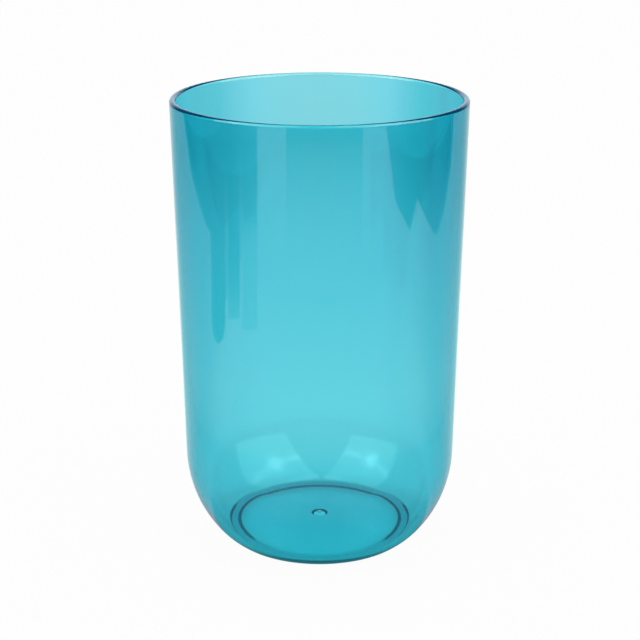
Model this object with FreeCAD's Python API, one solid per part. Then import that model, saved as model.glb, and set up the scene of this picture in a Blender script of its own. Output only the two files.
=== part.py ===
import FreeCAD, Part
import math
import os

# Bathroom tumbler: one injection-moulded piece of clear plastic.
# Units are millimetres.  Z is the axis of the cup, the foot stands on z = 0.

# ---- driving dimensions ----
cup_height = 118.0          # foot to the top of the lip
lip_diameter = 75.7         # outside, at the rounded lip
wall = 1.65                 # thickness of the wall and of the rounded bottom
draft_angle = 1.33          # degrees the wall leans out
upper_bowl_radius = 31.4    # outside radius just below the straight wall
upper_bowl_sweep = 38.4     # degrees of the upper radius
lower_bowl_radius = 20.8    # outside radius from there down to the foot
foot_turn = 55.07           # degrees the bowl has turned from upright where it meets the foot
floor_thickness = 2.1       # at the middle of the floor
floor_rise = 1.6            # how far the floor swells up at its centre
floor_corner_round = 0.6    # inside corner around the floor
foot_width = 1.9            # flat ring the cup stands on
foot_edge_round = 0.3       # outer edge of the foot ring
recess_slope_width = 0.8    # sloped inner side of the foot ring
recess_depth = 1.1          # underside set up from the foot, at its rim
recess_rise = 1.0           # how far the underside swells up at its centre
gate_dimple_diameter = 4.4  # round dimple in the middle of the underside
gate_dimple_depth = 1.3
gate_stub_diameter = 1.6    # stub of plastic left in the dimple by the mould gate
gate_stub_length = 0.7

# ---- bands that the widest round surfaces are drawn in, which keeps their meshes light ----
lip_band_count = 4
upper_bowl_band_count = 3
crown_band_count = 6


def section_point(radius, height):
    """A point of the half section, in the XZ plane."""
    return FreeCAD.Vector(radius, 0.0, height)


def step_out(centre, radius, angle):
    """The point at this radius from a centre, angle measured down from the horizontal."""
    return section_point(centre.x + radius * math.cos(angle), centre.z - radius * math.sin(angle))


def line(start, end):
    """A straight edge."""
    return Part.makeLine(start, end)


def arc(centre, radius, first_angle, last_angle):
    """An arc between two angles below the horizontal."""
    middle = step_out(centre, radius, (first_angle + last_angle) / 2.0)
    ends = (step_out(centre, radius, first_angle), step_out(centre, radius, last_angle))
    return Part.Arc(ends[0], middle, ends[1]).toShape()


def equal_stops(first, last, count):
    """The ends of this many equal bands from the first value to the last."""
    return [first + (last - first) * step / count for step in range(count + 1)]


def arc_bands(centre, radius, stops):
    """One arc, drawn as a band between each pair of neighbouring angles."""
    return [arc(centre, radius, near, far) for near, far in zip(stops, stops[1:])]


def crown_radius(half_width, rise):
    """The radius of a shallow crown with this half width and rise."""
    return (half_width ** 2 + rise ** 2) / (2.0 * rise)


def crown_point(edge, rise, radius_out):
    """The point of a crown at a distance from the axis; the crown ends at the edge point."""
    crown = crown_radius(edge.x, rise)
    centre_height = edge.z + rise - crown
    return section_point(radius_out, centre_height + math.sqrt(crown ** 2 - radius_out ** 2))


def crown_arc(edge, rise, inner, outer):
    """The part of a crown between two distances from the axis."""
    middle = crown_point(edge, rise, (inner + outer) / 2.0)
    ends = (crown_point(edge, rise, inner), crown_point(edge, rise, outer))
    return Part.Arc(ends[0], middle, ends[1]).toShape()


def crown_rings(edge, rise, inner, outer):
    """A crown drawn as rings of equal width."""
    stops = equal_stops(inner, outer, crown_band_count)
    return [crown_arc(edge, rise, near, far) for near, far in zip(stops, stops[1:])]


# ---- outside of the cup, from the lip down to the foot ----
draft = math.radians(draft_angle)
lip_round = wall / 2.0
lip_centre = section_point(lip_diameter / 2.0 - lip_round, cup_height - lip_round)
lip_outer = step_out(lip_centre, lip_round, draft)
lip_inner = step_out(lip_centre, -lip_round, draft)
lip_stops = equal_stops(draft, draft - math.pi, lip_band_count)
upper_end = draft + math.radians(upper_bowl_sweep)
foot_angle = math.radians(foot_turn)
upper_drop = upper_bowl_radius * (math.sin(upper_end) - math.sin(draft))
lower_drop = lower_bowl_radius * (math.sin(foot_angle) - math.sin(upper_end))
bowl_height = upper_drop + lower_drop
bowl_outer = section_point(lip_outer.x - (lip_outer.z - bowl_height) * math.tan(draft), bowl_height)
upper_stops = equal_stops(draft, upper_end, upper_bowl_band_count)
upper_centre = step_out(bowl_outer, -upper_bowl_radius, draft)
lower_centre = step_out(upper_centre, upper_bowl_radius - lower_bowl_radius, upper_end)
foot_outer = step_out(lower_centre, lower_bowl_radius, foot_angle)

# ---- inside of the cup, one wall thickness in ----
bowl_inner = step_out(bowl_outer, -wall, draft)
floor_edge_height = recess_depth + recess_rise + floor_thickness - floor_rise
floor_angle = math.asin((lower_centre.z - floor_edge_height) / (lower_bowl_radius - wall))
floor_edge = step_out(lower_centre, lower_bowl_radius - wall, floor_angle)

# ---- underside: foot ring, sloped side, recess and gate mark ----
foot_inner = section_point(foot_outer.x - foot_width, 0.0)
recess_edge = section_point(foot_inner.x - recess_slope_width, recess_depth)
dimple_radius = gate_dimple_diameter / 2.0
stub_radius = gate_stub_diameter / 2.0
dimple_edge = crown_point(recess_edge, recess_rise, dimple_radius)
stub_root = crown_point(dimple_edge, gate_dimple_depth, stub_radius)
stub_corner = section_point(stub_radius, stub_root.z - gate_stub_length)
stub_middle = section_point(0.0, stub_corner.z)
floor_middle = crown_point(floor_edge, floor_rise, 0.0)

# ---- the closed half section ----
section_edges = [
    line(floor_middle, stub_middle),
    line(stub_middle, stub_corner),
    line(stub_corner, stub_root),
    crown_arc(dimple_edge, gate_dimple_depth, stub_radius, dimple_radius),
    *crown_rings(recess_edge, recess_rise, dimple_radius, recess_edge.x),
    line(recess_edge, foot_inner),
    line(foot_inner, foot_outer),
    arc(lower_centre, lower_bowl_radius, foot_angle, upper_end),
    *arc_bands(upper_centre, upper_bowl_radius, upper_stops[::-1]),
    line(bowl_outer, lip_outer),
    *arc_bands(lip_centre, lip_round, lip_stops),
    line(lip_inner, bowl_inner),
    *arc_bands(upper_centre, upper_bowl_radius - wall, upper_stops),
    arc(lower_centre, lower_bowl_radius - wall, upper_end, floor_angle),
    *crown_rings(floor_edge, floor_rise, 0.0, floor_edge.x)[::-1],
]
half_section = Part.Wire(section_edges)
axis_start = FreeCAD.Vector(0.0, 0.0, 0.0)
axis_direction = FreeCAD.Vector(0.0, 0.0, 1.0)
turned = Part.Face(half_section).revolve(axis_start, axis_direction, 360.0)


def ring_edges(solid, corner):
    """The circular edges that a corner of the section sweeps out."""
    found = []
    for edge in solid.Edges:
        here = edge.Vertexes[0].Point
        if abs(math.hypot(here.x, here.y) - corner.x) < 0.001 and abs(here.z - corner.z) < 0.001:
            if edge.Closed and edge.Curve.TypeId == "Part::GeomCircle":
                found.append(edge)
    return found


# ---- rounded edges ----
cup = turned
for corner, round_radius in (
    (floor_edge, floor_corner_round),
    (foot_outer, foot_edge_round),
):
    cup = cup.makeFillet(round_radius, ring_edges(cup, corner))

if cup.ShapeType != "Solid":
    cup = cup.Solids[0]

os.makedirs("parts", exist_ok=True)
cup.exportStep("parts/rinse_cup.step")
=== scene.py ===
import math

import bpy
from bpy.props import FloatProperty, FloatVectorProperty, IntProperty, PointerProperty
from bpy.types import Operator, Panel, PropertyGroup
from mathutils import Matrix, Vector


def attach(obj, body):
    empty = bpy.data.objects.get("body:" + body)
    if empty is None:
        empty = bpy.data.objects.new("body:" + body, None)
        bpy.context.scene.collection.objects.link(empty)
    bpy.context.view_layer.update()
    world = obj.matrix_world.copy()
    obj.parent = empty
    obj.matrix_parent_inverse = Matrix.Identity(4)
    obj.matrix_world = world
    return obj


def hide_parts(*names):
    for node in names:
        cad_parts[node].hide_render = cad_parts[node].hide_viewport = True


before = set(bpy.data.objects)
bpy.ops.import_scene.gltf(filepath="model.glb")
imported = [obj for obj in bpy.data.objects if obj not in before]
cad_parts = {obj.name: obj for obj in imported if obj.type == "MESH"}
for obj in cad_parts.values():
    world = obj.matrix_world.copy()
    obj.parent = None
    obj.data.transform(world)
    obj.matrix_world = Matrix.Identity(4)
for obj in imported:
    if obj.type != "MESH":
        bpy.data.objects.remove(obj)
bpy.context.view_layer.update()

bl_info = {
    "name": "Bathroom Tumbler",
    "version": (1, 0, 0),
    "blender": (4, 5, 0),
    "location": "View3D > Sidebar > Tumbler",
    "description": "A moulded plastic tumbler on a pale table under soft light",
    "category": "Add Mesh",
}

# Metres throughout.  Z is the axis of the cup, and its foot stands on z = 0.  The camera stands
# ahead of the cup, towards -Y.

DIGITS = 5                 # that the sidebar shows of a length
SMALL_START = 0.001        # side of the square that is merged to a section's first point
SMALLEST_GAP = 1.0e-7      # points closer than this are one point
SMOOTH_BELOW = 30.0        # degrees; sharper edges stay sharp
WHITE = (1.0, 1.0, 1.0, 1.0)


# ---------------------------------------------------------------- settings

def length(name, description, default):
    """A size that the sidebar shows as a length."""
    return FloatProperty(
        name=name, description=description, default=default,
        min=0.0, precision=DIGITS, unit="LENGTH", subtype="DISTANCE",
    )


def turn(name, description, degrees):
    """An angle that the sidebar shows in degrees."""
    return FloatProperty(
        name=name, description=description, default=math.radians(degrees),
        unit="ROTATION", subtype="ANGLE",
    )


def colour(name, description, default):
    """A colour in linear light."""
    return FloatVectorProperty(
        name=name, description=description, default=default,
        size=3, min=0.0, max=1.0, subtype="COLOR",
    )


class TumblerSizes(PropertyGroup):
    """Sizes of the cup."""

    height: length("Height", "Foot to the top of the lip", 0.118)
    lip_diameter: length("Lip diameter", "Outside, at the rounded lip", 0.0757)
    wall: length("Wall", "Thickness of the wall and of the rounded bottom", 0.00165)
    draft: turn("Draft", "How far the wall leans out", 1.33)
    upper_radius: length("Upper bowl radius", "Outside, just below the straight wall", 0.0314)
    upper_sweep: turn("Upper bowl sweep", "How far the upper radius turns", 38.4)
    lower_radius: length("Lower bowl radius", "Outside, from there down to the foot", 0.0208)
    foot_turn: turn("Foot turn", "How far the bowl has turned from upright at the foot", 55.07)
    floor_thickness: length("Floor thickness", "At the middle of the floor", 0.0021)
    floor_rise: length("Floor rise", "How far the floor swells up at its middle", 0.0016)
    floor_corner: length("Floor corner", "Inside round between the bowl and the floor", 0.0006)
    foot_width: length("Foot width", "Flat ring that the cup stands on", 0.0019)
    foot_edge: length("Foot edge", "Round of the foot ring's outer edge", 0.0003)
    slope_width: length("Slope width", "Sloped inner side of the foot ring", 0.0008)
    recess_depth: length("Recess depth", "Underside above the table, at its rim", 0.0011)
    recess_rise: length("Recess rise", "How far the underside swells up at its middle", 0.0010)
    recess_edge: length("Recess edge", "Cut back at both edges of the slope", 0.00012)
    dimple_diameter: length("Dimple diameter", "Round dimple in the middle of the underside", 0.0044)
    dimple_depth: length("Dimple depth", "Depth of that dimple", 0.0013)
    stub_diameter: length("Stub diameter", "Plastic that the mould gate leaves in the dimple", 0.0016)
    stub_length: length("Stub length", "How far that stub hangs down", 0.0007)
    segments: IntProperty(
        name="Segments", description="Steps once round the cup", default=256, min=32, max=512,
    )


class TumblerLook(PropertyGroup):
    """Colour and finish of the plastic."""

    tint: colour("Tint", "Light that the plastic lets through", (0.020, 0.790, 0.847))
    tint_density: FloatProperty(
        name="Tint density", description="How fast the tint builds up, per metre",
        default=1000.0, min=0.0,
    )
    # Painted glow: the plastic gives off a faint blue-green light of its own, in place of stray light
    # inside it.
    painted_glow: colour("Glow", "Light that strays inside the plastic", (0.0, 0.55, 1.0))
    painted_glow_strength: FloatProperty(
        name="Glow strength", description="How fast that stray light builds up, per metre",
        default=13.0, min=0.0,
    )
    bend: FloatProperty(
        name="Refraction", description="Index of refraction of the plastic",
        default=1.55, min=1.0, max=2.5,
    )


class TumblerStage(PropertyGroup):
    """Table, light and camera."""

    table_colour: colour("Table", "Colour of the table", (0.80, 0.80, 0.80))
    # This share also carries the painted pools, shadow and tones that the plastic shows of the table.
    table_glow: FloatProperty(
        name="Table whiteness", description="Share of plain white that the table shows",
        default=0.96, min=0.0, max=1.0, subtype="FACTOR",
    )
    surroundings: colour("Surroundings", "Light that comes from all round", (0.80, 0.80, 0.80))
    camera_distance: length("Camera distance", "From the axis of the cup, along the table", 0.4130)
    camera_height: length("Camera height", "Above the table", 0.19226)
    camera_pitch: turn("Camera pitch", "How far the camera looks down", 17.902)
    camera_lens: FloatProperty(
        name="Lens", description="Focal length", default=92.83, unit="CAMERA",
    )


# ---------------------------------------------------------------- drawing a half section

class Section:
    """A half section in the XZ plane, drawn in edit mode from one point onwards."""

    def __init__(self, name, start):
        bpy.ops.object.select_all(action="DESELECT")
        bpy.ops.mesh.primitive_plane_add(size=SMALL_START, location=(0.0, 0.0, 0.0))
        self.object = bpy.context.object
        self.object.name = name
        self.object.data.name = name
        bpy.ops.object.mode_set(mode="EDIT")
        bpy.ops.mesh.merge(type="CENTER")
        bpy.ops.transform.translate(value=(start[0], 0.0, start[1]))
        self.here = start

    def line(self, end, steps=1):
        """A straight line in equal steps."""
        step = ((end[0] - self.here[0]) / steps, 0.0, (end[1] - self.here[1]) / steps)
        for _ in range(steps):
            bpy.ops.mesh.extrude_region_move(TRANSFORM_OT_translate={"value": step})
        self.here = end

    def arc(self, centre, degrees_down, steps):
        """An arc about a centre; a positive turn goes from outwards to downwards."""
        bpy.ops.mesh.spin(
            steps=steps, angle=degrees_down,
            center=(centre[0], 0.0, centre[1]), axis=(0.0, -1.0, 0.0),
        )
        across = self.here[0] - centre[0]
        up = self.here[1] - centre[1]
        self.here = (
            centre[0] + across * math.cos(degrees_down) + up * math.sin(degrees_down),
            centre[1] - across * math.sin(degrees_down) + up * math.cos(degrees_down),
        )


def polar(centre, radius, down):
    """The point at this radius from a centre, the angle measured down from the horizontal."""
    return (centre[0] + radius * math.cos(down), centre[1] - radius * math.sin(down))


def angle_down(centre, point):
    """The angle of a point about a centre, measured down from the horizontal."""
    return math.atan2(centre[1] - point[1], point[0] - centre[0])


def crown_centre(edge, rise):
    """The centre and radius of a shallow crown that ends at the edge point."""
    radius = (edge[0] ** 2 + rise ** 2) / (2.0 * rise)
    return (0.0, edge[1] + rise - radius), radius


def crown_height(edge, rise, across):
    """The height of a crown at a distance from the axis."""
    centre, radius = crown_centre(edge, rise)
    return centre[1] + math.sqrt(radius ** 2 - across ** 2)


def select_near(obj, points, reach=2.0e-5):
    """Selects the section's points at these places and nothing else."""
    bpy.ops.mesh.select_all(action="DESELECT")
    bpy.ops.mesh.select_mode(type="VERT")
    bpy.ops.object.mode_set(mode="OBJECT")
    for vertex in obj.data.vertices:
        for point in points:
            if math.hypot(vertex.co.x - point[0], vertex.co.z - point[1]) < reach:
                vertex.select = True
    bpy.ops.object.mode_set(mode="EDIT")


# ---------------------------------------------------------------- the plastic

WAVE_SIZE = 60.0           # waves to the metre
WAVE_HEIGHT = 0.000003
HAZE = 0.012               # roughness at the haziest
HAZE_SIZE = 160.0          # patches of haze to the metre
HAZE_DETAIL = 4.0
HAZE_RANGE = (0.45, 0.75)  # noise where the haze starts and where it is full


def surface_group():
    """A shader group: the slight waviness and the fine haze of a moulded surface."""
    group = bpy.data.node_groups.new("Moulded surface", "ShaderNodeTree")
    group.interface.new_socket("Wave size", in_out="INPUT", socket_type="NodeSocketFloat")
    group.interface.new_socket("Wave height", in_out="INPUT", socket_type="NodeSocketFloat")
    group.interface.new_socket("Haze", in_out="INPUT", socket_type="NodeSocketFloat")
    group.interface.new_socket("Roughness", in_out="OUTPUT", socket_type="NodeSocketFloat")
    group.interface.new_socket("Normal", in_out="OUTPUT", socket_type="NodeSocketVector")
    nodes, links = group.nodes, group.links
    inputs = nodes.new("NodeGroupInput")
    outputs = nodes.new("NodeGroupOutput")
    here = nodes.new("ShaderNodeTexCoord").outputs["Object"]
    waves = nodes.new("ShaderNodeTexNoise")
    waves.inputs["Detail"].default_value = 1.0
    bump = nodes.new("ShaderNodeBump")
    bump.inputs["Strength"].default_value = 1.0
    haze = nodes.new("ShaderNodeTexNoise")
    haze.inputs["Scale"].default_value = HAZE_SIZE
    haze.inputs["Detail"].default_value = HAZE_DETAIL
    fade = nodes.new("ShaderNodeMapRange")
    fade.inputs["From Min"].default_value, fade.inputs["From Max"].default_value = HAZE_RANGE
    links.new(here, waves.inputs["Vector"])
    links.new(here, haze.inputs["Vector"])
    links.new(inputs.outputs["Wave size"], waves.inputs["Scale"])
    links.new(inputs.outputs["Wave height"], bump.inputs["Distance"])
    links.new(waves.outputs["Fac"], bump.inputs["Height"])
    links.new(haze.outputs["Fac"], fade.inputs["Value"])
    links.new(inputs.outputs["Haze"], fade.inputs["To Max"])
    links.new(fade.outputs["Result"], outputs.inputs["Roughness"])
    links.new(bump.outputs["Normal"], outputs.inputs["Normal"])
    return group


def clear_plastic(look):
    """Clear plastic, tinted all the way through, with a faint painted glow in it and a moulded
    surface.
    """
    material = bpy.data.materials.new("Tinted clear plastic")
    material.use_nodes = True
    nodes, links = material.node_tree.nodes, material.node_tree.links
    shader = nodes["Principled BSDF"]
    shader.inputs["Base Color"].default_value = WHITE
    shader.inputs["Metallic"].default_value = 0.0
    shader.inputs["IOR"].default_value = look.bend
    shader.inputs["Transmission Weight"].default_value = 1.0
    surface = nodes.new("ShaderNodeGroup")
    surface.node_tree = surface_group()
    surface.inputs["Wave size"].default_value = WAVE_SIZE
    surface.inputs["Wave height"].default_value = WAVE_HEIGHT
    surface.inputs["Haze"].default_value = HAZE
    links.new(surface.outputs["Roughness"], shader.inputs["Roughness"])
    links.new(surface.outputs["Normal"], shader.inputs["Normal"])
    tint = nodes.new("ShaderNodeVolumeAbsorption")
    tint.inputs["Color"].default_value = (*look.tint, 1.0)
    tint.inputs["Density"].default_value = look.tint_density
    # painted glow: a faint blue-green emission all through the plastic, though it is no lamp
    painted_glow_light = nodes.new("ShaderNodeEmission")
    painted_glow_light.inputs["Color"].default_value = (*look.painted_glow, 1.0)
    painted_glow_light.inputs["Strength"].default_value = look.painted_glow_strength
    both = nodes.new("ShaderNodeAddShader")
    links.new(tint.outputs["Volume"], both.inputs[0])
    links.new(painted_glow_light.outputs["Emission"], both.inputs[1])
    links.new(both.outputs["Shader"], nodes["Material Output"].inputs["Volume"])
    return material


# ---------------------------------------------------------------- the cup

# Steps that each stretch of the half section is drawn in.
DIMPLE_STEPS = 10
CROWN_STEPS = 26
FLAT_STEPS = 3
FOOT_EDGE_STEPS = 5
RECESS_EDGE_STEPS = 3
LOWER_BOWL_STEPS = 14
UPPER_BOWL_STEPS = 32
WALL_STEPS = 16
LIP_STEPS = 24
LOWER_INSIDE_STEPS = 10
FLOOR_CORNER_STEPS = 8

STUB_CUT = 0.3             # share of the stub's radius that its edge is cut back by
WALL_END = 0.004           # share of the wall's length in the narrow band at each end


class TUMBLER_OT_add_cup(Operator):
    """Draw the half section of the cup and turn it once round the axis"""

    bl_idname = "tumbler.add_cup"
    bl_label = "Add cup"

    def execute(self, context):
        sizes = context.scene.tumbler_sizes
        wall, draft = sizes.wall, sizes.draft

        # the lip and the outside
        lip_round = wall / 2.0
        lip_centre = (sizes.lip_diameter / 2.0 - lip_round, sizes.height - lip_round)
        lip_outer = polar(lip_centre, lip_round, draft)
        upper_end = draft + sizes.upper_sweep
        upper_drop = sizes.upper_radius * (math.sin(upper_end) - math.sin(draft))
        lower_drop = sizes.lower_radius * (math.sin(sizes.foot_turn) - math.sin(upper_end))
        bowl_height = upper_drop + lower_drop
        bowl_outer = (lip_outer[0] - (lip_outer[1] - bowl_height) * math.tan(draft), bowl_height)
        upper_centre = polar(bowl_outer, -sizes.upper_radius, draft)
        lower_centre = polar(upper_centre, sizes.upper_radius - sizes.lower_radius, upper_end)
        foot_outer = polar(lower_centre, sizes.lower_radius, sizes.foot_turn)

        # the inside, one wall thickness in, and the round of its floor
        lower_inside = sizes.lower_radius - wall
        bowl_inner = polar(bowl_outer, -wall, draft)
        floor_edge_height = (
            sizes.recess_depth + sizes.recess_rise + sizes.floor_thickness - sizes.floor_rise
        )
        floor_angle = math.asin((lower_centre[1] - floor_edge_height) / lower_inside)
        floor_edge = polar(lower_centre, lower_inside, floor_angle)
        crown, crown_radius = crown_centre(floor_edge, sizes.floor_rise)
        corner_centre = self.meet(
            lower_centre, lower_inside - sizes.floor_corner,
            crown, crown_radius + sizes.floor_corner,
        )
        corner_start = angle_down(lower_centre, corner_centre)
        corner_end = angle_down(corner_centre, crown)
        crown_turn = math.atan2(corner_centre[0] - crown[0], corner_centre[1] - crown[1])

        # the underside
        foot_inner = (foot_outer[0] - sizes.foot_width, 0.0)
        recess_edge = (foot_inner[0] - sizes.slope_width, sizes.recess_depth)
        under, _ = crown_centre(recess_edge, sizes.recess_rise)
        dimple_radius = sizes.dimple_diameter / 2.0
        stub_radius = sizes.stub_diameter / 2.0
        dimple_edge = (dimple_radius, crown_height(recess_edge, sizes.recess_rise, dimple_radius))
        dimple, _ = crown_centre(dimple_edge, sizes.dimple_depth)
        stub_root = (stub_radius, crown_height(dimple_edge, sizes.dimple_depth, stub_radius))
        stub_tip = stub_root[1] - sizes.stub_length
        foot_centre = (
            lower_centre[0]
            + math.sqrt(
                (sizes.lower_radius - sizes.foot_edge) ** 2
                - (lower_centre[1] - sizes.foot_edge) ** 2
            ),
            sizes.foot_edge,
        )
        foot_angle = angle_down(lower_centre, foot_centre)

        # drawn from the gate mark outwards, up, over the lip and down to the floor
        section = Section("Tumbler", (0.0, stub_tip))
        section.line((stub_radius * (1.0 - STUB_CUT), stub_tip))
        section.line((stub_radius, stub_tip + stub_radius * STUB_CUT))
        section.line(stub_root)
        section.arc(dimple, self.sweep(dimple, section.here, dimple_edge), DIMPLE_STEPS)
        section.arc(under, self.sweep(under, section.here, recess_edge), CROWN_STEPS)
        section.line(foot_inner, FLAT_STEPS)
        section.line((foot_centre[0], 0.0), FLAT_STEPS)
        section.arc(foot_centre, foot_angle - math.pi / 2.0, FOOT_EDGE_STEPS)
        section.arc(lower_centre, upper_end - foot_angle, LOWER_BOWL_STEPS)
        section.arc(upper_centre, draft - upper_end, UPPER_BOWL_STEPS)
        self.wall_line(section, lip_outer)
        section.arc(lip_centre, -math.pi, LIP_STEPS)
        self.wall_line(section, bowl_inner)
        section.arc(upper_centre, upper_end - draft, UPPER_BOWL_STEPS)
        section.arc(lower_centre, corner_start - upper_end, LOWER_INSIDE_STEPS)
        section.arc(corner_centre, corner_end - corner_start, FLOOR_CORNER_STEPS)
        section.arc(crown, -crown_turn, CROWN_STEPS)

        # the two edges of the sloped side are cut back a little
        select_near(section.object, (foot_inner, recess_edge))
        bpy.ops.mesh.bevel(
            offset=sizes.recess_edge, segments=RECESS_EDGE_STEPS, affect="VERTICES",
        )

        # once round
        bpy.ops.mesh.select_all(action="SELECT")
        bpy.ops.mesh.spin(
            steps=sizes.segments, angle=2.0 * math.pi, center=(0.0, 0.0, 0.0), axis=(0.0, 0.0, 1.0),
        )
        bpy.ops.mesh.select_all(action="SELECT")
        bpy.ops.mesh.remove_doubles(threshold=SMALLEST_GAP)
        bpy.ops.mesh.normals_make_consistent(inside=False)
        bpy.ops.object.mode_set(mode="OBJECT")
        bpy.ops.object.shade_smooth_by_angle(angle=math.radians(SMOOTH_BELOW))

        cup = section.object
        cup.data.materials.append(clear_plastic(context.scene.tumbler_look))
        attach(cup, "root")
        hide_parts("rinse_cup")
        return {"FINISHED"}

    @staticmethod
    def sweep(centre, start, end):
        """How far an arc turns from one point to another about its centre."""
        return angle_down(centre, end) - angle_down(centre, start)

    @staticmethod
    def meet(first, first_radius, second, second_radius):
        """Where two circles meet, on the side away from the axis."""
        across, up = second[0] - first[0], second[1] - first[1]
        apart = math.hypot(across, up)
        along = (apart ** 2 + first_radius ** 2 - second_radius ** 2) / (2.0 * apart)
        aside = math.sqrt(first_radius ** 2 - along ** 2)
        middle = (first[0] + along * across / apart, first[1] + along * up / apart)
        ends = (
            (middle[0] + aside * up / apart, middle[1] - aside * across / apart),
            (middle[0] - aside * up / apart, middle[1] + aside * across / apart),
        )
        return max(ends)

    @staticmethod
    def wall_line(section, end):
        """The straight wall, with a narrow band at each end that keeps its shading true."""
        start = section.here
        across, up = (end[0] - start[0]) * WALL_END, (end[1] - start[1]) * WALL_END
        section.line((start[0] + across, start[1] + up))
        section.line((end[0] - across, end[1] - up), WALL_STEPS)
        section.line(end)


# ---------------------------------------------------------------- the stage

def aim(azimuth, elevation, distance=1.0):
    """A place seen from the cup in this direction; azimuth 0 is straight ahead of the cup."""
    across, up = math.radians(azimuth), math.radians(elevation)
    return (
        distance * math.sin(across) * math.cos(up),
        -distance * math.cos(across) * math.cos(up),
        distance * math.sin(up),
    )


TABLE_SIZE = 8.0
TABLE_GAP = 0.0001         # the table lies this far below the foot
CARD_HEIGHT = 0.0005       # the flat cards lie this far above z = 0

# A painted pool of light on the table that only the plastic mirrors: how bright it is, by the
# distance from a place ahead of the cup.
POOL_SQUEEZE = 0.6
POOL_AHEAD = 0.10
PAINTED_REFLECTED_POOL = (
    (0.000, 1.90), (0.050, 1.90), (0.105, 1.60), (0.147, 1.25), (0.210, 1.12), (0.300, 1.00),
    (0.450, 0.80), (0.800, 0.75),
)

# Its mirrored tone by the distance from the axis: a painted contact shadow, dark where the cup stands
# on the table, with painted teal light from the cup in green and blue.
CONTACT_SHADOW_RED = (
    (0.000, 0.02), (0.025, 0.03), (0.040, 0.10), (0.048, 0.14), (0.056, 0.24), (0.062, 0.25),
    (0.090, 0.36), (0.100, 0.42), (0.110, 0.66), (0.130, 0.90), (0.150, 1.00),
)
CONTACT_SHADOW_GREEN = (
    (0.000, 0.22), (0.025, 0.22), (0.035, 0.19), (0.045, 0.13), (0.056, 0.18), (0.062, 0.24),
    (0.090, 0.36), (0.100, 0.42), (0.110, 0.66), (0.130, 0.90), (0.150, 1.00),
)

# How far that painted shadow is lifted, and the painted tint of the mirrored table, by the way round:
# -1 is ahead of the cup, 1 behind.
CONTACT_REACH = (
    (-1.00, 0.00), (-0.25, 0.00), (-0.10, 0.38), (0.03, 0.38), (0.10, 0.48), (0.30, 0.58),
    (0.60, 1.00), (1.00, 1.00),
)
AROUND_RED = (
    (-1.00, 1.00), (-0.30, 1.00), (-0.18, 0.97), (-0.05, 0.80), (0.03, 0.72), (0.12, 0.60),
    (0.26, 0.54), (0.40, 0.53), (0.78, 0.45), (0.85, 0.62), (0.91, 0.90), (0.95, 1.02),
    (1.00, 1.08),
)
AROUND_GREEN = (
    (-1.00, 1.00), (-0.30, 1.00), (-0.10, 0.76), (0.03, 0.64), (0.26, 0.57), (0.60, 0.62),
    (0.78, 0.80), (0.85, 0.94), (0.91, 1.12), (0.95, 1.20), (1.00, 1.20),
)

# A painted pool of light on the table where it shows through the plastic, by the distance from the
# axis, with a painted shadow ring under the foot; then its blue.
PAINTED_TRANSMITTED_POOL = (
    (0.0000, 1.24), (0.0208, 1.24), (0.0220, 0.92), (0.0243, 0.84), (0.0265, 1.00),
    (0.0320, 1.00), (0.0360, 1.20), (0.0500, 1.24), (0.1000, 1.21), (0.2000, 1.15),
    (0.3000, 1.09), (0.4200, 1.01), (0.5100, 0.93), (0.5600, 0.97), (0.8000, 1.01),
)
TRANSMITTED_BLUE = ((0.000, 0.98), (0.028, 0.98), (0.060, 0.95), (0.300, 0.99), (0.800, 1.01))

# Its painted light and shade far behind the cup, in bands by the slant of lines that fan out from a
# place ahead of it.
FAN_START = 0.35
SMALLEST_FAN = 0.01        # keeps the slant in bounds where the lines start
FAN_REACH = ((0.00, 0.00), (0.12, 0.00), (0.20, 0.25), (0.38, 1.00), (2.00, 1.00))
FAN_RED = (
    (-0.108, 0.75), (-0.079, 0.70), (-0.065, 0.94), (-0.045, 1.18), (-0.026, 1.22),
    (0.026, 1.20), (0.039, 1.15), (0.052, 1.08), (0.065, 0.84), (0.079, 0.60),
    (0.087, 0.58), (0.108, 0.70),
)
FAN_GREEN = (
    (-0.125, 0.92), (-0.108, 0.85), (-0.093, 0.86), (-0.079, 0.87), (-0.065, 0.93), (-0.049, 1.01),
    (-0.032, 1.01), (0.000, 0.99), (0.032, 1.01), (0.050, 1.01), (0.065, 0.92), (0.079, 0.87),
    (0.089, 0.84), (0.097, 0.82), (0.108, 0.74), (0.125, 0.84),
)
FAN_BLUE = (
    (-0.125, 0.95), (-0.108, 0.90), (-0.093, 0.90), (-0.079, 0.91), (-0.065, 0.98), (-0.049, 1.05),
    (-0.032, 1.02), (0.000, 0.99), (0.032, 1.02), (0.050, 1.06), (0.065, 0.98), (0.079, 0.91),
    (0.089, 0.88), (0.097, 0.86), (0.108, 0.82), (0.125, 0.90),
)

# Painted reflections: how bright each card is that only the plastic mirrors, as dark bands and light
# streaks, by the distance from the axis.
DARK_SHADE = (
    (0.000, 0.24), (0.300, 0.24), (0.340, 0.17), (0.400, 0.08), (0.470, 0.00), (2.000, 0.00),
)
STREAK_SHADE = (
    (0.000, 1.00), (0.200, 0.80), (0.240, 0.50), (0.330, 0.48), (0.380, 0.24), (0.440, 0.06),
    (0.470, 0.00), (2.000, 0.00),
)
SECOND_SHADE = (
    (0.000, 1.05), (0.215, 0.85), (0.245, 0.45), (0.290, 0.22), (0.340, 0.14), (0.440, 0.00),
    (2.000, 0.00),
)
THIN_STREAK_SHADE = (
    (0.000, 1.00), (0.290, 0.80), (0.330, 0.62), (0.370, 0.32), (0.420, 0.14), (0.480, 0.04),
    (2.000, 0.00),
)
THIRD_SHADE = (
    (0.000, 1.10), (0.215, 1.00), (0.310, 0.76), (0.330, 0.58), (0.355, 0.20), (0.390, 0.08),
    (0.470, 0.00), (2.000, 0.00),
)
FRONT_SHADE = (
    (0.000, 1.20), (0.270, 1.20), (0.330, 1.00), (0.380, 0.75), (0.450, 0.42), (0.472, 0.28),
    (0.488, 0.05), (0.500, 0.00), (2.000, 0.00),
)
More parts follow.
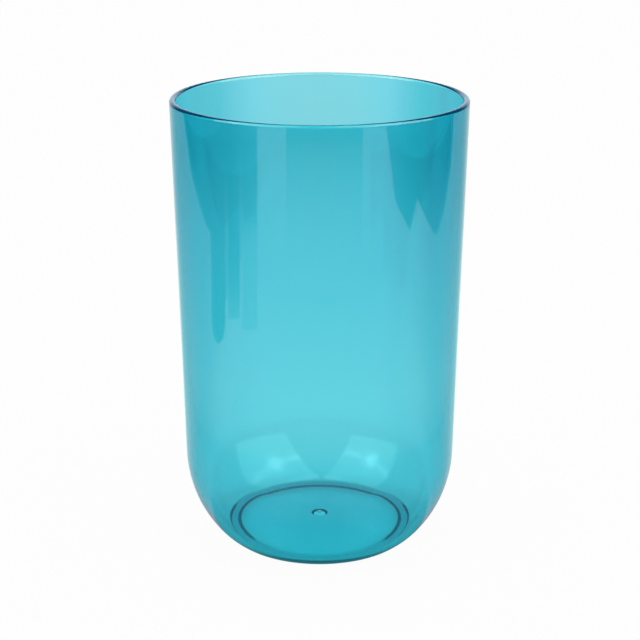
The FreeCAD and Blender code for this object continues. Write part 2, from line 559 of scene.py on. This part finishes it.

# Corners of the painted-reflection cards that lie flat on the table.
FIRST_STRIP = (
    (-0.476, 0.295), (-0.452, 0.249), (-0.400, 0.173), (-0.361, 0.080), (-0.335, 0.032),
    (-0.323, 0.000), (-0.261, 0.000), (-0.208, 0.000), (-0.194, -0.008), (-0.187, -0.025),
    (-0.192, -0.042), (-0.205, -0.053), (-0.279, -0.075), (-0.364, -0.104), (-0.519, -0.163),
)
FIRST_STREAK = (
    (-0.519, -0.163), (-0.364, -0.104), (-0.232, -0.061), (-0.230, -0.069), (-0.360, -0.117),
    (-0.513, -0.181),
)
SECOND_STRIP = (
    (-0.513, -0.181), (-0.360, -0.117), (-0.208, -0.065), (-0.194, -0.103), (-0.332, -0.183),
    (-0.469, -0.270),
)
SECOND_STREAK = (
    (-0.469, -0.270), (-0.332, -0.183), (-0.254, -0.136), (-0.248, -0.147), (-0.324, -0.197),
    (-0.457, -0.289),
)
THIRD_STRIP = (
    (-0.457, -0.289), (-0.324, -0.197), (-0.181, -0.106), (-0.155, -0.144), (-0.275, -0.260),
    (-0.386, -0.375),
)
RIGHT_CARD = (
    (0.493, 0.270), (0.444, 0.240), (0.393, 0.192), (0.348, 0.127), (0.322, 0.075),
    (0.314, 0.049), (0.333, 0.015), (0.354, -0.035), (0.371, -0.083), (0.335, -0.100),
    (0.310, -0.108), (0.315, -0.141), (0.318, -0.206), (0.353, -0.263), (0.372, -0.300),
    (0.388, -0.333), (0.408, -0.352),
)
LEFT_BEYOND = (
    (-0.476, 0.295), (-0.519, -0.163), (-0.469, -0.270), (-0.386, -0.375), (-1.500, -1.360),
    (-2.600, 0.000), (-1.879, 1.258),
)
RIGHT_BEYOND = (
    (0.493, 0.270), (2.000, 1.250), (2.600, 0.000), (1.500, -1.250), (0.408, -0.352),
)
FRONT_NEAR = 0.27
FRONT_FAR = 2.4
FRONT_CARD = (
    aim(-24, 0, FRONT_NEAR), aim(-24, 0, FRONT_FAR), aim(31, 0, FRONT_FAR), aim(31, 0, FRONT_NEAR),
)

# The panels, painted reflections that show in the plastic and light nothing: their corners, as
# azimuth and elevation from the cup, and their tones, red-heavy where they show through the plastic,
# with a painted highlight at a core.
PANEL_DISTANCE = 1.6
RIGHT_PANEL = ((34, 12.5), (-4, 68.5), (110, 60), (101, 32), (88, 4.5))
LEFT_PANEL = ((-32, 15), (-83, 8), (-90, 36), (-110, 60), (-6, 68.5))
RIGHT_CORE = (57, 40)
LEFT_CORE = (-62, 34)
PANEL_TONE = (2.4, 2.3, 1.9)
PAINTED_PANEL_THROUGH = (18.0, 2.5, 1.85)
PAINTED_HIGHLIGHT_CORE = (75.0, 9.0, 7.2)

# The share of the painted highlight's tone, by how near a way from the cup is to the core's own way,
# 1 at it.
CORE_SPREAD = (
    (0.000, 0.00), (0.960, 0.00), (0.985, 0.12), (0.994, 0.50), (0.9985, 1.00), (1.000, 1.00),
)
BAND_END = ((0.00, 0.00), (0.76, 0.10), (0.90, 1.00), (1.00, 1.00))

# The share of that painted highlight in the level band through the core, by the rise: the middle is
# the core's.
BAND_MIDDLE = 0.5
BAND_RISE = (
    (0.00, 0.00), (0.41, 0.00), (0.46, 0.15), (0.50, 0.45), (0.53, 0.32), (0.57, 0.00),
    (1.00, 0.00),
)

LAMP_DISTANCE = 0.95
LAMP_SIZE = (0.35, 0.20)
LAMP_RADIANCE = 3.2
LAMP_TARGET = (0.0, 0.0, 0.05)

# The room round the table, a painted reflection that only the plastic shows: its tone at the sides
# and far behind the cup, which starts at one and is full at the other of these two values of Y on the
# way there.
ROOM_BEHIND = (0.78, 0.95)
ROOM_MIRRORED = ((0.000, 0.20, 0.45), (0.90, 1.15, 1.35))
ROOM_THROUGH = ((0.012, 0.04, 0.08), (0.30, 0.34, 0.38))

SENSOR_WIDTH = 36.0        # millimetres, as the lens
CAMERA_SHIFT = 0.000625
NEAREST_SEEN = 0.01

RAMP_TOP = 2.0             # the brightest level that a ramp is drawn for
HALF_A_BOUNCE = 0.5        # more reflections than this are one or more


def fed(links, value, socket):
    """Links a value to a socket, or writes it there where it is a plain number or colour."""
    if isinstance(value, bpy.types.NodeSocket):
        links.new(value, socket)
    else:
        socket.default_value = value


def worked(nodes, links, operation, first, second):
    """The result of one sum on two values."""
    step = nodes.new("ShaderNodeMath")
    step.operation = operation
    fed(links, first, step.inputs[0])
    fed(links, second, step.inputs[1])
    return step.outputs["Value"]


def worked_vector(nodes, links, operation, *vectors):
    """The node that does one sum on vectors."""
    step = nodes.new("ShaderNodeVectorMath")
    step.operation = operation
    for vector, socket in zip(vectors, step.inputs):
        fed(links, vector, socket)
    return step


def part_of(nodes, links, vector, axis):
    """The X, Y or Z of a vector."""
    split = nodes.new("ShaderNodeSeparateXYZ")
    links.new(vector, split.inputs["Vector"])
    return split.outputs[axis]


def combined(nodes, links, *channels):
    """A colour put together from its red, green and blue."""
    tone = nodes.new("ShaderNodeCombineColor")
    for channel, socket in zip(channels, tone.inputs):
        fed(links, channel, socket)
    return tone.outputs["Color"]


def blended(nodes, links, share, first, second, data_type="RGBA"):
    """The first value, which turns into the second as the share grows from 0 to 1."""
    mix = nodes.new("ShaderNodeMix")
    mix.data_type = data_type
    fed(links, share, mix.inputs["Factor"])
    fed(links, first, mix.inputs["A"])
    fed(links, second, mix.inputs["B"])
    return mix.outputs["Result"]


def blended_shader(nodes, links, share, first, second):
    """The first shader, which turns into the second as the share grows from 0 to 1."""
    mix = nodes.new("ShaderNodeMixShader")
    links.new(share, mix.inputs["Fac"])
    links.new(first, mix.inputs[1])
    links.new(second, mix.inputs[2])
    return mix.outputs["Shader"]


def light_path(nodes, links, *names):
    """The largest of these outputs of the Light Path node."""
    path = nodes.new("ShaderNodeLightPath")
    share = path.outputs[names[0]]
    for name in names[1:]:
        share = worked(nodes, links, "MAXIMUM", share, path.outputs[name])
    return share


def between(nodes, links, value, first, last):
    """How far a value has come from the first of two levels to the last, from 0 to 1."""
    spread = nodes.new("ShaderNodeMapRange")
    spread.inputs["From Min"].default_value = first
    spread.inputs["From Max"].default_value = last
    links.new(value, spread.inputs["Value"])
    return spread.outputs["Result"]


def stepped(nodes, links, value, stops):
    """A level that runs through these stops as the value grows."""
    first, last = stops[0][0], stops[-1][0]
    ramp = nodes.new("ShaderNodeValToRGB")
    ramp.color_ramp.interpolation = "LINEAR"
    while len(ramp.color_ramp.elements) < len(stops):
        ramp.color_ramp.elements.new(0.5)  # it is moved to its own stop below
    for element, (at, level) in zip(ramp.color_ramp.elements, stops):
        grey = level / RAMP_TOP
        element.position = (at - first) / (last - first)
        element.color = (grey, grey, grey, 1.0)
    links.new(between(nodes, links, value, first, last), ramp.inputs["Fac"])
    return worked(nodes, links, "MULTIPLY", ramp.outputs["Color"], RAMP_TOP)


def place(nodes):
    """The place of a point on the stage."""
    return nodes.new("ShaderNodeTexCoord").outputs["Object"]


def way(nodes, links):
    """The way from the cup's foot to a point on the stage, one metre long."""
    return worked_vector(nodes, links, "NORMALIZE", place(nodes)).outputs["Vector"]


def falloff(nodes, links, stops, squeeze=1.0, ahead=0.0):
    """A level that changes with the distance from the axis, or from a place ahead of it."""
    moved = worked_vector(
        nodes, links, "MULTIPLY_ADD", place(nodes), (squeeze, 1.0, 0.0), (0.0, ahead, 0.0),
    )
    distance = worked_vector(nodes, links, "LENGTH", moved.outputs["Vector"])
    return stepped(nodes, links, distance.outputs["Value"], stops)


def round_about(nodes, links, stops):
    """A level that changes with the way from the cup: -1 is ahead of it and 1 behind it."""
    return stepped(nodes, links, part_of(nodes, links, way(nodes, links), "Y"), stops)


def fanned(nodes, links, stops):
    """A painted level of light and shade by the slant of a point's line, one of the lines that fan
    out behind the cup.
    """
    behind = worked(nodes, links, "ADD", part_of(nodes, links, place(nodes), "Y"), FAN_START)
    reach = worked(nodes, links, "MAXIMUM", behind, SMALLEST_FAN)
    slant = worked(nodes, links, "DIVIDE", part_of(nodes, links, place(nodes), "X"), reach)
    return stepped(nodes, links, slant, stops)


def mirrored_tone(nodes, links):
    """The painted tone of the table as the plastic mirrors it: a painted contact shadow, and a
    painted tint by the way round.
    """
    lit = round_about(nodes, links, CONTACT_REACH)
    red, green = (
        worked(
            nodes, links, "MULTIPLY",
            worked(nodes, links, "MAXIMUM", falloff(nodes, links, contact), lit),
            round_about(nodes, links, around),
        )
        for contact, around in ((CONTACT_SHADOW_RED, AROUND_RED), (CONTACT_SHADOW_GREEN, AROUND_GREEN))
    )
    return combined(nodes, links, red, green, green)


def transmitted_tone(nodes, links):
    """The painted tone of the table where it shows through the plastic: a painted blue tint, and
    painted light and shade in fanned bands far behind the cup.
    """
    blue = falloff(nodes, links, TRANSMITTED_BLUE)
    far_blue = worked(nodes, links, "MULTIPLY", fanned(nodes, links, FAN_BLUE), blue)
    return blended(
        nodes, links, falloff(nodes, links, FAN_REACH),
        combined(nodes, links, 1.0, 1.0, blue),
        combined(
            nodes, links, fanned(nodes, links, FAN_RED), fanned(nodes, links, FAN_GREEN), far_blue,
        ),
    )


def table_material(stage):
    """A pale table that takes the cup's shadow and is nearly white where it is seen; the plastic
    shows it with painted pools of light, a painted contact shadow and painted tones.
    """
    material = bpy.data.materials.new("Pale table")
    material.use_nodes = True
    nodes, links = material.node_tree.nodes, material.node_tree.links
    paper = nodes["Principled BSDF"]
    paper.inputs["Base Color"].default_value = (*stage.table_colour, 1.0)
    paper.inputs["Roughness"].default_value = 1.0
    paper.inputs["Specular IOR Level"].default_value = 0.0
    straight = light_path(nodes, links, "Is Camera Ray")
    through = light_path(nodes, links, "Is Transmission Ray")
    tone = blended(
        nodes, links, through, mirrored_tone(nodes, links), transmitted_tone(nodes, links),
    )
    # painted strength: one pool of light where the plastic mirrors the table, another where it shows
    # through
    level = blended(
        nodes, links, through,
        falloff(nodes, links, PAINTED_REFLECTED_POOL, squeeze=POOL_SQUEEZE, ahead=POOL_AHEAD),
        falloff(nodes, links, PAINTED_TRANSMITTED_POOL), data_type="FLOAT",
    )
    white = nodes.new("ShaderNodeEmission")
    links.new(blended(nodes, links, straight, tone, WHITE), white.inputs["Color"])
    links.new(
        blended(nodes, links, straight, level, 1.0, data_type="FLOAT"), white.inputs["Strength"],
    )
    seen = light_path(nodes, links, "Is Camera Ray", "Is Glossy Ray", "Is Transmission Ray")
    share = worked(nodes, links, "MULTIPLY", seen, stage.table_glow)
    links.new(
        blended_shader(nodes, links, share, paper.outputs["BSDF"], white.outputs["Emission"]),
        nodes["Material Output"].inputs["Surface"],
    )
    return material


def plain_material(name, tone):
    """A flat colour that gives off its own light."""
    material = bpy.data.materials.new(name)
    material.use_nodes = True
    nodes, links = material.node_tree.nodes, material.node_tree.links
    nodes.remove(nodes["Principled BSDF"])
    light = nodes.new("ShaderNodeEmission")
    light.inputs["Color"].default_value = (*tone, 1.0)
    links.new(light.outputs["Emission"], nodes["Material Output"].inputs["Surface"])
    return material


def panel_material(name, core):
    """A panel that shows only in the plastic: a painted reflection, with a painted highlight through
    the plastic that is brightest at a core and along a band through it.
    """
    material = plain_material(name, PANEL_TONE)
    nodes, links = material.node_tree.nodes, material.node_tree.links
    there = way(nodes, links)
    near = worked_vector(nodes, links, "DOT_PRODUCT", there, core).outputs["Value"]
    rise = worked(
        nodes, links, "SUBTRACT", part_of(nodes, links, there, "Z"), core[2] - BAND_MIDDLE,
    )
    band = worked(
        nodes, links, "MULTIPLY",
        stepped(nodes, links, rise, BAND_RISE), stepped(nodes, links, near, BAND_END),
    )
    painted_glow = worked(nodes, links, "MAXIMUM", band, stepped(nodes, links, near, CORE_SPREAD))
    lit = blended(nodes, links, painted_glow, (*PAINTED_PANEL_THROUGH, 1.0), (*PAINTED_HIGHLIGHT_CORE, 1.0))
    through = light_path(nodes, links, "Is Transmission Ray")
    tone = blended(nodes, links, through, (*PANEL_TONE, 1.0), lit)
    links.new(tone, nodes["Emission"].inputs["Color"])
    return material


def shaded_material(name, stops):
    """A painted reflection: a glowing grey that changes with the distance from the axis and shows in
    reflections only.
    """
    material = plain_material(name, WHITE[:3])
    nodes, links = material.node_tree.nodes, material.node_tree.links
    light = nodes["Emission"]
    links.new(falloff(nodes, links, stops), light.inputs["Strength"])
    mirrored = worked(
        nodes, links, "GREATER_THAN", light_path(nodes, links, "Glossy Depth"), HALF_A_BOUNCE,
    )
    nothing = nodes.new("ShaderNodeBsdfTransparent")
    links.new(
        blended_shader(
            nodes, links, mirrored, nothing.outputs["BSDF"], light.outputs["Emission"],
        ),
        nodes["Material Output"].inputs["Surface"],
    )
    return material


def card(name, corners, material, through=True):
    """A thin flat panel, drawn corner by corner, that shows in the plastic and nowhere else: a
    painted reflection.
    """
    bpy.ops.object.select_all(action="DESELECT")
    bpy.ops.mesh.primitive_circle_add(
        vertices=len(corners), fill_type="NGON", location=(0.0, 0.0, 0.0),
    )
    obj = bpy.context.object
    obj.name = name
    for vertex, corner in zip(obj.data.vertices, corners):
        vertex.co = corner
    obj.data.materials.append(material)
    obj.visible_camera = False
    obj.visible_diffuse = False
    obj.visible_shadow = False
    obj.visible_volume_scatter = False
    obj.visible_transmission = through


def laid_flat(corners):
    """The same corners, at the height of the cards on the table."""
    return [(corner[0], corner[1], CARD_HEIGHT) for corner in corners]


def soft_lamp(name, position):
    """A rectangular lamp that looks at the cup."""
    bpy.ops.object.light_add(type="AREA", location=position)
    lamp = bpy.context.object
    lamp.name = name
    lamp.data.shape = "RECTANGLE"
    lamp.data.size, lamp.data.size_y = LAMP_SIZE
    lamp.data.energy = LAMP_RADIANCE * math.pi * LAMP_SIZE[0] * LAMP_SIZE[1]
    towards = Vector(LAMP_TARGET) - Vector(position)
    lamp.rotation_euler = towards.to_track_quat("-Z", "Y").to_euler()
    lamp.visible_camera = False
    lamp.visible_transmission = False


class TUMBLER_OT_add_stage(Operator):
    """Set the table, the surroundings, the lamps and the camera"""

    bl_idname = "tumbler.add_stage"
    bl_label = "Add stage"

    def execute(self, context):
        scene = context.scene
        stage = scene.tumbler_stage
        self.table(stage)
        self.cards()
        self.lights()
        self.surround(scene, stage)
        self.look(scene, stage)
        return {"FINISHED"}

    @staticmethod
    def table(stage):
        """The table that the cup stands on."""
        bpy.ops.object.select_all(action="DESELECT")
        bpy.ops.mesh.primitive_plane_add(size=TABLE_SIZE, location=(0.0, 0.0, -TABLE_GAP))
        table = bpy.context.object
        table.name = "Table"
        table.data.materials.append(table_material(stage))

    @staticmethod
    def cards():
        """Painted reflections: cards on the table that only the plastic mirrors, as dark bands and
        light streaks.
        """
        dark = shaded_material("Dark card", DARK_SHADE)
        for name, corners, material in (
            ("First strip", FIRST_STRIP, dark),
            ("First streak", FIRST_STREAK, shaded_material("First streak", STREAK_SHADE)),
            ("Second strip", SECOND_STRIP, shaded_material("Second strip", SECOND_SHADE)),
            ("Second streak", SECOND_STREAK, shaded_material("Second streak", THIN_STREAK_SHADE)),
            ("Third strip", THIRD_STRIP, shaded_material("Third strip", THIRD_SHADE)),
            ("Right card", RIGHT_CARD, dark),
        ):
            card(name, laid_flat(corners), material)
        for name, corners, material in (
            ("Left card beyond", LEFT_BEYOND, dark),
            ("Right card beyond", RIGHT_BEYOND, dark),
            ("Front card", FRONT_CARD, shaded_material("Fading card", FRONT_SHADE)),
        ):
            card(name, laid_flat(corners), material, through=False)

    @staticmethod
    def lights():
        """A panel of painted reflection and highlight, and a real soft lamp, on each side."""
        for name, corners, core in (
            ("Right", RIGHT_PANEL, RIGHT_CORE),
            ("Left", LEFT_PANEL, LEFT_CORE),
        ):
            bright = panel_material(f"{name} light panel", aim(*core))
            card(f"{name} panel", [aim(*corner, PANEL_DISTANCE) for corner in corners], bright)
            soft_lamp(f"{name} soft lamp", aim(*core, LAMP_DISTANCE))

    @staticmethod
    def surround(scene, stage):
        """White where it is seen, plain light on the table, and a painted reflection of a darker room
        in the plastic.
        """
        world = bpy.data.worlds.new("Surroundings")
        scene.world = world
        world.use_nodes = True
        nodes, links = world.node_tree.nodes, world.node_tree.links
        plain = nodes["Background"]
        plain.inputs["Color"].default_value = (*stage.surroundings, 1.0)
        white = nodes.new("ShaderNodeBackground")
        white.inputs["Color"].default_value = WHITE
        ways = nodes.new("ShaderNodeTexCoord").outputs["Generated"]
        behind = between(nodes, links, part_of(nodes, links, ways, "Y"), *ROOM_BEHIND)
        mirrored, through = (
            blended(nodes, links, behind, (*side, 1.0), (*far, 1.0))
            for side, far in (ROOM_MIRRORED, ROOM_THROUGH)
        )
        room = nodes.new("ShaderNodeBackground")
        links.new(
            blended(
                nodes, links, light_path(nodes, links, "Is Transmission Ray"), mirrored, through,
            ),
            room.inputs["Color"],
        )
        in_plastic = blended_shader(
            nodes, links, light_path(nodes, links, "Is Glossy Ray", "Is Transmission Ray"),
            plain.outputs["Background"], room.outputs["Background"],
        )
        seen = blended_shader(
            nodes, links, light_path(nodes, links, "Is Camera Ray"),
            in_plastic, white.outputs["Background"],
        )
        links.new(seen, nodes["World Output"].inputs["Surface"])

    @staticmethod
    def look(scene, stage):
        """The camera, looking down at the cup from ahead of it."""
        bpy.ops.object.camera_add(
            location=(0.0, -stage.camera_distance, stage.camera_height),
            rotation=(math.pi / 2.0 - stage.camera_pitch, 0.0, 0.0),
        )
        camera = bpy.context.object
        camera.name = "Camera"
        camera.data.lens = stage.camera_lens
        camera.data.sensor_width = SENSOR_WIDTH
        camera.data.shift_x = CAMERA_SHIFT
        camera.data.clip_start = NEAREST_SEEN
        camera.data.dof.use_dof = False
        scene.camera = camera
        scene.view_settings.view_transform = "Standard"


# ---------------------------------------------------------------- the sidebar

class TUMBLER_PT_sidebar(Panel):
    """Sizes, colours and the pieces of the tumbler"""

    bl_label = "Tumbler"
    bl_idname = "TUMBLER_PT_sidebar"
    bl_space_type = "VIEW_3D"
    bl_region_type = "UI"
    bl_category = "Tumbler"

    def draw(self, context):
        scene = context.scene
        for settings in (scene.tumbler_sizes, scene.tumbler_look, scene.tumbler_stage):
            column = self.layout.column(align=True)
            for name in settings.__annotations__:
                column.prop(settings, name)
        self.layout.operator(TUMBLER_OT_add_cup.bl_idname)
        self.layout.operator(TUMBLER_OT_add_stage.bl_idname)


CLASSES = (
    TumblerSizes, TumblerLook, TumblerStage,
    TUMBLER_OT_add_cup, TUMBLER_OT_add_stage, TUMBLER_PT_sidebar,
)


def register():
    """Makes the sizes, operators and panel known to Blender."""
    for cls in CLASSES:
        bpy.utils.register_class(cls)
    bpy.types.Scene.tumbler_sizes = PointerProperty(type=TumblerSizes)
    bpy.types.Scene.tumbler_look = PointerProperty(type=TumblerLook)
    bpy.types.Scene.tumbler_stage = PointerProperty(type=TumblerStage)


def unregister():
    """Takes them away again."""
    del bpy.types.Scene.tumbler_stage
    del bpy.types.Scene.tumbler_look
    del bpy.types.Scene.tumbler_sizes
    for cls in reversed(CLASSES):
        bpy.utils.unregister_class(cls)


def main():
    """Builds the cup and its stage."""
    register()
    bpy.ops.tumbler.add_cup()
    bpy.ops.tumbler.add_stage()


if __name__ == "__main__":
    main()
